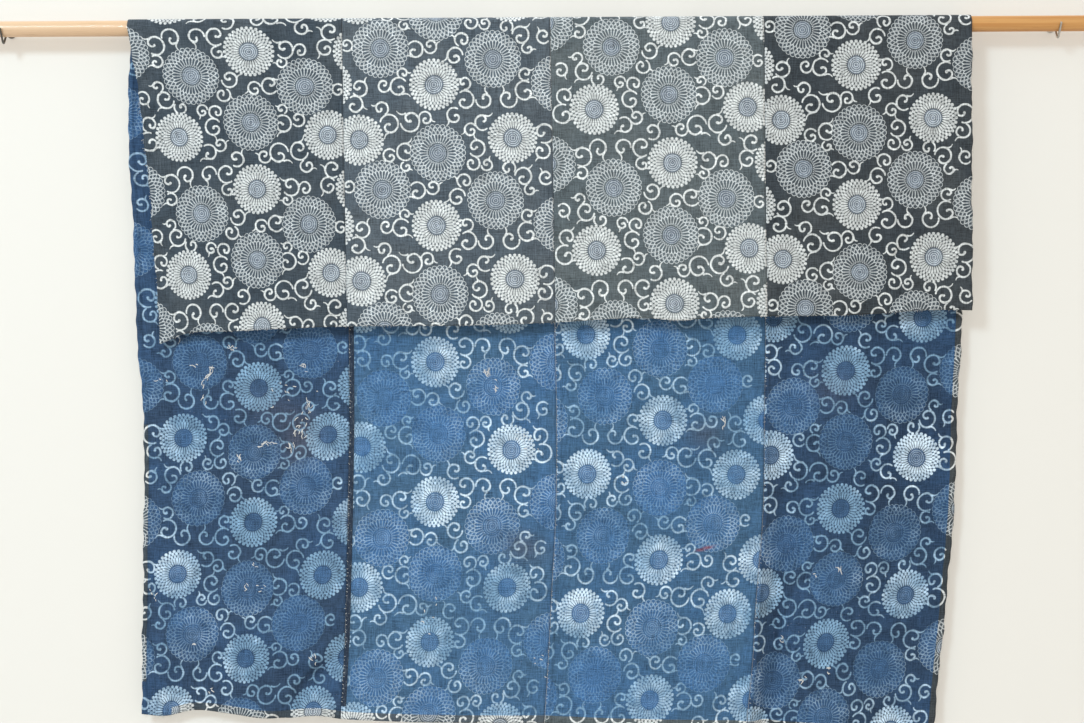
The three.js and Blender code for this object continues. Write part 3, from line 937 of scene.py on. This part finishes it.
def pine_finish(settings):
    """Pine: long grain along the rod, paler at one end, with small dark flecks."""
    finish = Finish("rod_pine")
    place = finish.object_place()
    x, _, _ = finish.parts(place)
    grain = finish.streaks(place, (3, 160, 160), 5.0, 0.6)
    fleck = finish.streaks(place, (24, 420, 420))
    tone = ((grain - 0.38) * 2.6).limit()
    base = finish.mix(tone, (*settings.pine, 1.0), (*settings.grain, 1.0))
    base = finish.mix((0.40 - x * 0.62).limit() * 0.70, base, linear(230, 204, 176))
    base = finish.mix(((fleck - 0.62) * 5.0).limit() * 0.35, base, linear(136, 88, 44))
    return finish.surface(
        base, 0.42 + fleck * 0.2, finish.bump(grain, 0.2, 0.0004), Coat_Weight=0.15
    )


def steel_finish(name, colour, roughness):
    """Drawn steel wire, dulled in patches."""
    finish = Finish(name)
    dull = finish.noise(finish.object_place(), 260.0, 3.0, 0.6)
    dark = (*(0.45 * part for part in colour), 1.0)
    base = finish.mix(((dull - 0.45) * 2.5).limit() * 0.6, (*colour, 1.0), dark)
    return finish.surface(base, roughness + dull * 0.2, Metallic=1.0)


def with_steps(stops, steps):
    """Adds steps to a row of stops, in place of the stops that lie too near them."""
    far = np.min(np.abs(stops[:, None] - np.array(steps)), axis=1) > STEP_CLEAR
    return np.sort(np.concatenate([stops[far], steps]))


def cloth_columns(number, grid):
    """The stops across a panel, with a narrow step where an allowance or a side hem ends."""
    width = PANEL_WIDTHS[number]
    stops = np.linspace(SIDE_GAP, width - SIDE_GAP, int(round(width / grid)) + 1)
    steps = [FIRST_TURNS[number], FIRST_TURNS[number] + HEM_STEP]
    if number == LAST_PANEL:
        steps += [width - RIGHT_TURN - HEM_STEP, width - RIGHT_TURN]
    return with_steps(stops, steps)


def cloth_rows(length, grid):
    """The stops from the rod to a hem, as shares of the length, with a step where the hem is turned."""
    stops = np.linspace(0, length, int(round(length / grid)) + 1)
    return with_steps(stops, [length - HEM_TURN - HEM_STEP, length - HEM_TURN]) / length


def panel_grid(number, grid):
    """A panel's points on the flat cloth.

    Returns the ways across the cloth, along it and across the panel, the drop of the hem below each
    point, and how far the cloth lies double there.
    """
    width = PANEL_WIDTHS[number]
    local = cloth_columns(number, grid)
    across = (PANEL_STARTS[number] + local)[:, None]
    wrap = np.linspace(-1, 1, WRAP_STOPS)[1:-1]
    run = np.concatenate([
        -QUARTER_WRAP - hem_drop(True, across) * cloth_rows(FLAP_LENGTH, grid)[::-1],
        np.broadcast_to(QUARTER_WRAP * wrap, (len(local), len(wrap))),
        QUARTER_WRAP + hem_drop(False, across) * cloth_rows(BACK_LENGTH, grid),
    ], axis=1)
    across, inside = (np.broadcast_to(part, run.shape) for part in (across, local[:, None]))
    drop = np.abs(run) - QUARTER_WRAP
    hem = hem_drop(run < 0, across)
    at_side = inside <= FIRST_TURNS[number] + 0.1
    if number == LAST_PANEL:
        at_side = at_side | (inside >= width - RIGHT_TURN - 0.1)
    double = np.where(at_side, smoothstep(drop, 20, 70), 0.0)
    double = np.maximum(double, (drop > hem - HEM_TURN - 0.3).astype(float))
    return across, run, inside, hem, double


def print_chart(number, inside, run):
    """Where places on a panel lie in the chart of the repeat.

    The folds pull the print aside in bell-shaped patches. It is then slipped and squeezed sideways,
    by other amounts on the front than on the back, and scaled to the panel's own repeat.
    """
    turned, period, phase, inset = PRINT_PLACES[number]
    front_shift, front_squeeze, back_shift, back_squeeze, lean = PRINT_SLIPS[number]
    for at, level, reach, right, down in PRINT_PULLS:
        apart = np.hypot(inside + PANEL_STARTS[number] - at, run - QUARTER_WRAP - level)
        pull = np.exp(-((apart / reach) ** 2))
        inside = inside - right * pull
        run = run - down * pull
    behind = smoothstep(run, 0, SLIP_REACH)
    slip = front_shift + (back_shift - front_shift) * behind
    slip = slip + lean * np.clip(run - LEAN_START, 0, None)
    sideways = (inside + slip) * (1 + front_squeeze + (back_squeeze - front_squeeze) * behind)
    along = (run - phase) * REPEAT / period
    if turned:
        return np.stack([PANEL_WIDTHS[number] - sideways + inset, along], axis=-1)
    return np.stack([sideways + inset, -along], axis=-1)


def mark_print(mesh, number, inside, run, face_quads, rim):
    """Stores the nearest flower and vine arcs on the faces.

    The plain side repeats the printed side's marks in its own corner order, because the dye has
    soaked straight through.
    """
    once = np.concatenate([face_quads, rim % run.size])
    chart = print_chart(number, inside.reshape(-1)[once], run.reshape(-1)[once])
    centres = chart.mean(axis=1)

    def both_sides(values):
        printed_side, edge = values[: len(face_quads)], values[len(face_quads):]
        plain_side = printed_side[:, ::-1] if values.ndim == 3 else printed_side
        return np.concatenate([printed_side, plain_side, edge])

    set_marks(mesh, "flower", "CORNER", both_sides(flower_marks(centres, chart)))
    for letter, (corner, face) in zip(STROKE_LAYERS, stroke_marks(centres, chart, vine_strokes())):
        set_marks(mesh, f"stroke_{letter}", "CORNER", both_sides(corner))
        set_marks(mesh, f"sweep_{letter}", "FACE", both_sides(face))


def make_panel(number, settings):
    """One panel as a closed thin sheet: a printed side, a plain side and a rim between them.

    Points lie on a grid of stops across and along the cloth. The sides stand off the middle surface
    by half the thickness along its normal, and the plain side by one thickness more where a hem or
    a seam allowance is turned on to it.
    """
    across, run, inside, hem, double = panel_grid(number, settings.grid / MM)
    columns, rows = run.shape
    drop = np.abs(run) - QUARTER_WRAP
    middle = cloth_surface(across, run)
    normal = cloth_normal(across, run)
    printed = middle + normal * CLOTH_THICKNESS / 2
    plain = middle - normal * (CLOTH_THICKNESS / 2 + CLOTH_THICKNESS * double)[..., None]
    points = np.concatenate([printed.reshape(-1, 3), plain.reshape(-1, 3)]) * MM

    count = columns * rows
    index = np.arange(count).reshape(columns, rows)
    face_quads = grid_quads(columns, rows)
    plain_quads = grid_quads(columns, rows, flip=True) + count
    loop = np.concatenate([index[:, 0], index[-1, 1:], index[-2::-1, -1], index[0, -2:0:-1]])
    following = np.roll(loop, -1)
    rim = np.stack([loop, loop + count, following + count, following], axis=-1)
    quads = np.concatenate([face_quads, plain_quads, rim])
    piece = new_mesh(f"cover_panel_{number + 1}", points, quads)
    mesh = piece.data

    mark_print(mesh, number, inside, run, face_quads, rim)
    back_drop = np.where(run > 0, drop, -9999)
    # The soak attribute carries the soaked print and, in its third part, painted shade in folds and
    # creases with darker dye.
    for name, tables in (("wear", (WEAR, RED_MARKS, BROWN_MARKS)), ("soak", (SOAK, DIM, FOLD_SHADE_AND_DARK_DYE))):
        marks = [spots(table, across, back_drop) for table in tables]
        marks = np.stack(marks, axis=-1).reshape(-1, 3)
        set_marks(mesh, name, "POINT", np.concatenate([marks, marks]))
    flat = quads % count
    corner_across, corner_run = across.reshape(-1)[flat], run.reshape(-1)[flat]
    layer = mesh.uv_layers.new(name="cloth")
    place = np.stack([corner_across, corner_run], axis=-1) * MM
    layer.data.foreach_set("uv", place.astype(np.float32).ravel())

    printed_dye, plain_dye, *rest = PANEL_DYES[number]
    for name, dye in (("print", printed_dye), ("plain", plain_dye)):
        material = f"panel_{number + 1}_{name}"
        mesh.materials.append(cloth_finish(material, settings, dye, name == "print", *rest))
    mesh.materials.append(selvage_finish(f"panel_{number + 1}_allowance", ALLOWANCE_DYE))

    # A face shows the print (0), the plain side (1) or a bare seam allowance (2).
    doubled = double.reshape(-1)[flat].mean(axis=1) > 0.9
    face_across = corner_across.mean(axis=1)
    face_drop = np.abs(corner_run).mean(axis=1) - QUARTER_WRAP
    at_hem = hem.reshape(-1)[flat].mean(axis=1) - face_drop < HEM_TURN
    left_low, left_high = LEFT_PRINT
    at_left = (face_across < LEFT_TURN) & (face_drop > left_low) & (face_drop < left_high)
    at_right = face_across > CLOTH_WIDTH - RIGHT_TURN
    kind = np.ones(len(quads), dtype=np.int32)
    kind[doubled & ((at_hem & (face_across > HEM_PRINT)) | at_left | at_right)] = 0
    if number == 1:
        at_seam = face_across - PANEL_STARTS[1] < SEAM_TURNS[1]
        kind[doubled & at_seam & (face_drop < ALLOWANCE_END)] = 2
    kind[: len(face_quads)] = 0
    mesh.polygons.foreach_set("material_index", kind)
    mesh.update()
    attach(piece, BODY)
    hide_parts(f"panel_{number + 1}")
    length = float(hem[:, 0].mean() + hem[:, -1].mean() + 2 * QUARTER_WRAP)


class FUTON_OT_panels(Operator):
    """Builds the four cloth panels, draped over the rod"""

    bl_idname = "futon_cover.panels"
    bl_label = "Cloth panels"

    def execute(self, context):
        for number in range(len(PANEL_WIDTHS)):
            make_panel(number, context.scene.futon_cover)
        return {"FINISHED"}


def tubes(paths, ups, radii):
    """Points and faces of many small tubes at once: rings of points about every path.

    A ring's axes are the path's up direction and its cross product with the way along the path.
    """
    count, stops = paths.shape[:2]
    tangent = np.gradient(paths, axis=1)
    tangent /= np.linalg.norm(tangent, axis=-1, keepdims=True)
    side = np.cross(tangent, ups[:, None, :])
    side /= np.linalg.norm(side, axis=-1, keepdims=True)
    up = np.cross(side, tangent)
    turn = np.arange(THREAD_SIDES) * 2 * math.pi / THREAD_SIDES
    ring = side[..., None, :] * np.cos(turn)[:, None] + up[..., None, :] * np.sin(turn)[:, None]
    points = paths[..., None, :] + ring * np.broadcast_to(radii, (count, stops))[..., None, None]
    index = np.arange(count * stops * THREAD_SIDES).reshape(count, stops, THREAD_SIDES)
    after = np.roll(index, -1, axis=2)
    corners = [index[:, :-1], after[:, :-1], after[:, 1:], index[:, 1:]]
    return points.reshape(-1, 3), np.stack(corners, axis=-1).reshape(-1, 4)


def stitch_tubes(across, run, lean, half, rise, dip, girth):
    """Stitches on the plain side: each an arch of thread that dips into the cloth at its two ends."""
    normal = -cloth_normal(across, run)
    stand = normal * STITCH_STAND
    place = cloth_surface(across, run) + stand
    over = cloth_surface(across + 1, run + lean) + stand - place
    over /= np.linalg.norm(over, axis=-1, keepdims=True)
    t = np.linspace(-1, 1, len(STITCH_TAPER))
    paths = place[:, None] + over[:, None] * (half[:, None] * t)[..., None]
    paths = paths + normal[:, None] * (rise - dip * t**4)[None, :, None]
    return tubes(paths, normal, girth * STITCH_TAPER)


def seam_stitches(random):
    """Whip stitches over the seams on the plain side, leaning across the seam."""
    across, run = [], []
    for seam in PANEL_STARTS[1:-1]:
        stops = np.arange(QUARTER_WRAP + SEAM_SPAN[0], QUARTER_WRAP + SEAM_SPAN[1], SEAM_PITCH)
        stops = stops + random.normal(0, 0.9, len(stops))
        kept = random.random(len(stops)) < SEAM_KEPT
        run.append(stops[kept])
        across.append(seam + 1.0 + random.normal(0, 0.5, kept.sum()))
    across, run = np.concatenate(across), np.concatenate(run)
    lean = random.normal(0.5, 0.5, len(run))
    half = random.uniform(0.9, 2.0, len(run))
    return stitch_tubes(across, run, lean, half, rise=0.35, dip=0.9, girth=0.36)


def hem_stitches(random):
    """Running stitches along the hems, on the plain side, near the inner edge of the turn."""
    across, run = [], []
    for sign in (-1, 1):
        stops = np.arange(HEM_MARGIN, CLOTH_WIDTH - HEM_MARGIN, HEM_PITCH)
        stops = stops + random.normal(0, 0.6, len(stops))
        across.append(stops)
        inner = hem_drop(sign < 0, stops) - HEM_TURN + 2.2
        run.append(sign * (QUARTER_WRAP + inner + random.normal(0, 0.4, len(stops))))
    across, run = np.concatenate(across), np.concatenate(run)
    half = random.uniform(1.2, 1.9, len(run))
    return stitch_tubes(across, run, 0.0, half, rise=0.3, dip=0.8, girth=0.28)


def add_threads(name, shape, material, colour):
    """Makes one piece of many small threads."""
    points, quads = shape
    piece = new_mesh(name, points * MM, quads)
    piece.data.materials.append(thread_finish(material, colour))
    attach(piece, BODY)


class FUTON_OT_stitches(Operator):
    """Sews the stitches along the seams and hems"""

    bl_idname = "futon_cover.stitches"
    bl_label = "Stitches"

    def execute(self, context):
        random = np.random.default_rng(31)
        seams, hems = seam_stitches(random), hem_stitches(random)
        add_threads("seam_stitches", seams, "seam_stitches_thread", (236, 238, 240))
        add_threads("hem_stitches", hems, "hem_stitches_thread", (92, 106, 128))
        return {"FINISHED"}


def loose_fibres(random):
    """Fibres and threads: each leaves an edge, bends down under its weight and sways to a side."""
    parts = []
    for share, start, end, count, longest in FRAYED_SIDES:
        run = random.uniform(start, end, count)
        length = longest * random.uniform(0.25, 1.0, count) ** 1.5
        sway = random.normal(0, 0.5, count)
        outward = np.full(count, 1.0 if share > 0.5 else -1.0)
        parts.append((np.full(count, share * CLOTH_WIDTH), run, outward, length, sway))
    for sign, start, end, count, longest in FRAYED_HEMS:
        across = random.uniform(start, end, count)
        run = sign * (QUARTER_WRAP + hem_drop(sign < 0, across))
        length = longest * random.uniform(0.25, 1.0, count) ** 1.5
        parts.append((across, run, np.zeros(count), length, random.normal(0, 0.6, count)))
    sign, across, length, sway = np.array(LOOSE_THREADS, dtype=float).T
    run = sign * (QUARTER_WRAP + hem_drop(sign < 0, across) - 1.0)
    parts.append((across, run, np.zeros(len(sign)), length, sway / length))
    across, run, outward, length, sway = (np.concatenate(part) for part in zip(*parts))
    place = cloth_surface(across, run)
    count = len(across)
    none = np.zeros(count)
    hanging = outward == 0
    t = np.linspace(0, 1, len(FIBRE_TAPER))[None, :, None]
    side = np.stack([outward, random.normal(0, 0.35, count), sway * np.abs(outward)], axis=-1)
    down = np.stack([sway * hanging, none, -np.where(hanging, 1.0, 0.35)], axis=-1)
    bend_x, bend_y = random.normal(0, 0.25, count), random.normal(0, 0.25, count)
    bend = np.stack([bend_x, bend_y, none], axis=-1)
    size = length[:, None, None]
    paths = place[:, None] + size * (side[:, None] * t + down[:, None] * t**1.5)
    paths = paths + size * bend[:, None] * np.sin(math.pi * t)
    ups = np.tile([0.12, -1.0, 0.07], (count, 1))
    return tubes(paths, ups, 0.22 * FIBRE_TAPER)


def broken_yarns(random):
    """Short bent yarns in clusters on the plain side, lying a little proud of the cloth."""
    table = np.array(BROKEN_YARNS, dtype=float)
    rows = np.repeat(table, table[:, 5].astype(int), axis=0)
    count = len(rows)
    centre, level, long, wide, angle, _, longest = rows.T
    turn = np.radians(angle)
    along = long * random.normal(0, 0.8, count)
    aside = wide * random.normal(0, 0.9, count)
    at = centre + along * np.cos(turn) - aside * np.sin(turn)
    drop = level + along * np.sin(turn) + aside * np.cos(turn)
    turn = (turn + random.normal(0, 0.5, count))[:, None]
    half = (longest * random.uniform(0.2, 0.6, count))[:, None]
    t = np.linspace(-1, 1, len(YARN_TAPER))[None, :]
    bow = half * random.normal(0, 0.3, count)[:, None] * (t * t - 0.5)
    across = at[:, None] + half * t * np.cos(turn) - bow * np.sin(turn)
    run = drop[:, None] + half * t * np.sin(turn) + bow * np.cos(turn) + QUARTER_WRAP
    normal = -cloth_normal(across, run)
    paths = cloth_surface(across, run) + normal * CLOTH_THICKNESS * 0.6
    girth = random.uniform(0.4, 0.85, count)[:, None] * YARN_TAPER
    return tubes(paths, normal[:, 2], girth)


class FUTON_OT_fibres(Operator):
    """Adds the frayed fibres and loose threads at the edges, and the broken yarns"""

    bl_idname = "futon_cover.fibres"
    bl_label = "Frayed edges"

    def execute(self, context):
        random = np.random.default_rng(47)
        edges, yarns = loose_fibres(random), broken_yarns(random)
        add_threads("frayed_edges", edges, "frayed_edges_cotton", (232, 228, 220))
        add_threads("broken_yarns", yarns, "broken_yarns_cotton", (246, 243, 240))
        return {"FINISHED"}


class FUTON_OT_rod(Operator):
    """Builds the round wooden rod"""

    bl_idname = "futon_cover.rod"
    bl_label = "Rod"

    def execute(self, context):
        settings = context.scene.futon_hanger
        low, high = ROD_LOW[0], ROD_HIGH[0]
        ends = np.array([0.0, 0.05, ROD_CHAMFER * 0.5, ROD_CHAMFER])
        inner = np.linspace(low + 6, high - 6, 90)
        x = np.concatenate([low + ends, inner, (high - ends)[::-1]])
        drawn = ROD_RADIUS - ROD_CHAMFER * np.array([1.0, 0.42, 0.0])
        drawn = np.concatenate([[0.01], drawn])
        radii = np.concatenate([drawn, np.full(len(inner), ROD_RADIUS), drawn[::-1]])
        path = np.stack([x, np.full_like(x, ROD_Y), np.zeros_like(x)], axis=-1)
        points, quads = sweep(path, radii, settings.sides)
        rod = new_mesh("rod_dowel", points * MM, quads)
        rod.data.materials.append(pine_finish(settings))
        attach(rod, BODY)
        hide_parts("rod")
        return {"FINISHED"}


def hook_path():
    """The hook's wire, in depth and height from the rod's axis: straight arms joined by bends.

    Each bend is a parabola between points a set way along its two arms.
    """
    valley = -(ROD_RADIUS + 0.3 + WIRE_RADIUS) / math.sin(HOOK_HALF_ANGLE)

    def out(z):
        return (z - valley) * math.tan(HOOK_HALF_ANGLE)

    corners = np.array([(-out(-1), -1), (0, valley), (out(0), 0), (-ROD_Y - 1, 0)], dtype=float)
    path = [corners[0]]
    for before, corner, after in zip(corners, corners[1:], corners[2:]):
        first = corner + (before - corner) * HOOK_BEND / np.linalg.norm(before - corner)
        last = corner + (after - corner) * HOOK_BEND / np.linalg.norm(after - corner)
        t = np.linspace(0, 1, 13)[:, None]
        path.extend((1 - t) ** 2 * first + 2 * t * (1 - t) * corner + t * t * last)
    path.append(corners[-1])
    path = np.array(path)
    run = np.concatenate([[0], np.cumsum(np.linalg.norm(np.diff(path, axis=0), axis=1))])
    even = np.linspace(0, run[-1], 90)
    return np.stack([np.interp(even, run, path[:, axis]) for axis in (0, 1)], axis=-1)


class FUTON_OT_hooks(Operator):
    """Builds the two bent wire hooks with their wall collars"""

    bl_idname = "futon_cover.hooks"
    bl_label = "Hooks"

    def execute(self, context):
        settings = context.scene.futon_hanger
        for side, shade in (("left", 0.28), ("right", 1.0)):
            low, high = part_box(f"hook_{side}")
            x = (low[0] + high[0]) / 2 / MM
            flat = hook_path()
            path = np.column_stack([np.full(len(flat), x), flat[:, 0] + ROD_Y, flat[:, 1]])
            tip = path[0] + (path[0] - path[1]) * 0.3
            path = np.vstack([tip, path])
            radii = np.full(len(path), WIRE_RADIUS)
            radii[: len(TIP_RADII)] = TIP_RADII
            wire, wire_quads = sweep(path, radii, 16)
            depth, collar_radii = np.array(COLLAR).T
            none = np.zeros_like(depth)
            collar, collar_quads = sweep(np.column_stack([none + x, depth, none]), collar_radii, 32)
            points = np.vstack([wire, collar]) * MM
            quads = np.vstack([wire_quads, collar_quads + len(wire)])
            hook = new_mesh(f"hook_wire_{side}", points, quads)
            colour = tuple(shade * part for part in settings.steel)
            hook.data.materials.append(steel_finish(f"hook_steel_{side}", colour, 0.3))
            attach(hook, BODY)
            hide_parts(f"hook_{side}")
        return {"FINISHED"}


def add_area(name, place, size, power, colour):
    """A round area light that looks at the middle of the cloth."""
    light = bpy.data.lights.new(name, "AREA")
    light.shape = "DISK"
    light.size = size
    light.energy = power
    light.color = colour
    lamp = bpy.data.objects.new(name, light)
    lamp.location = place
    lamp.rotation_euler = (Vector(CLOTH_MIDDLE) - lamp.location).to_track_quat("-Z", "Y").to_euler()
    bpy.context.scene.collection.objects.link(lamp)


class FUTON_OT_stage(Operator):
    """Builds the floor, backdrop, lights and camera"""

    bl_idname = "futon_cover.stage"
    bl_label = "Stage"

    def execute(self, context):
        settings = context.scene.futon_stage
        quad = np.array([[0, 1, 2, 3]])
        left, right, near = -FLOOR_REACH, FLOOR_REACH, -FLOOR_REACH
        corners = ((left, near), (right, near), (right, WALL_Y), (left, WALL_Y))
        floor = new_mesh("stage_floor", np.array([(x, y, FLOOR_Z) for x, y in corners]), quad)
        pale = (*(0.8 * part for part in settings.floor), 1.0)
        floor.data.materials.append(Finish("stage_pale").surface(pale, 0.8))
        left, right = -WALL_REACH, WALL_REACH
        corners = ((left, FLOOR_Z), (right, FLOOR_Z), (right, WALL_TOP), (left, WALL_TOP))
        wall = new_mesh("stage_wall", np.array([(x, WALL_Y, z) for x, z in corners]), quad)
        wall.data.materials.append(self.thin_screen(settings.floor))
        add_area("key", (-1.9, -3.4, 1.5), 0.9, settings.key, (0.67, 0.87, 1.0))
        add_area("back", (0, 1.6, 3.4), 1.2, settings.back, (0.8, 0.9, 1.0))
        world = bpy.data.worlds.new("stage_sky")
        world.use_nodes = True
        sky = world.node_tree.nodes["Background"]
        sky.inputs["Color"].default_value = (*settings.sky_colour, 1.0)
        sky.inputs["Strength"].default_value = settings.sky
        context.scene.view_settings.view_transform = "Standard"
        context.scene.world = world
        lens = bpy.data.cameras.new("camera")
        lens.sensor_width = 36.0
        lens.lens = settings.lens
        camera = bpy.data.objects.new("camera", lens)
        camera.location = (CAMERA_X, ROD_Y * MM - settings.distance, CAMERA_Z)
        camera.rotation_euler = (math.pi / 2, settings.roll, 0.0)
        context.scene.collection.objects.link(camera)
        context.scene.camera = camera
        return {"FINISHED"}

    @staticmethod
    def thin_screen(colour):
        """A pale screen that lets some light through, and is clear from behind."""
        finish = Finish("stage_backdrop")
        behind = finish.add("ShaderNodeNewGeometry", out="Backfacing")
        matte = finish.add("ShaderNodeBsdfDiffuse", None, {"Color": (*colour, 1.0)})
        clear = finish.add("ShaderNodeBsdfTransparent")
        return finish.end(
            finish.add("ShaderNodeMixShader", None, [behind.most(0.35), matte, clear])
        )


class FUTON_PT_sidebar(Panel):
    """Lists the pieces in the sidebar of the 3D view"""

    bl_label = "Futon cover"
    bl_idname = "FUTON_PT_sidebar"
    bl_space_type = "VIEW_3D"
    bl_region_type = "UI"
    bl_category = "Futon cover"

    def draw(self, context):
        for settings in ("futon_cover", "futon_hanger", "futon_stage"):
            group = getattr(context.scene, settings)
            for name in group.__annotations__:
                self.layout.prop(group, name)
        for operator in OPERATORS:
            self.layout.operator(operator.bl_idname)


SETTINGS = (CoverSettings, HangerSettings, StageSettings)
OPERATORS = (
    FUTON_OT_panels,
    FUTON_OT_stitches,
    FUTON_OT_fibres,
    FUTON_OT_rod,
    FUTON_OT_hooks,
    FUTON_OT_stage,
)
CLASSES = (*SETTINGS, *OPERATORS, FUTON_PT_sidebar)


def register():
    for item in CLASSES:
        bpy.utils.register_class(item)
    bpy.types.Scene.futon_cover = PointerProperty(type=CoverSettings)
    bpy.types.Scene.futon_hanger = PointerProperty(type=HangerSettings)
    bpy.types.Scene.futon_stage = PointerProperty(type=StageSettings)


def unregister():
    for name in ("futon_cover", "futon_hanger", "futon_stage"):
        delattr(bpy.types.Scene, name)
    for item in reversed(CLASSES):
        bpy.utils.unregister_class(item)


def main():
    register()
    bpy.ops.futon_cover.panels()
    bpy.ops.futon_cover.stitches()
    bpy.ops.futon_cover.fibres()
    bpy.ops.futon_cover.rod()
    bpy.ops.futon_cover.hooks()
    bpy.ops.futon_cover.stage()


if __name__ == "__main__":
    main()
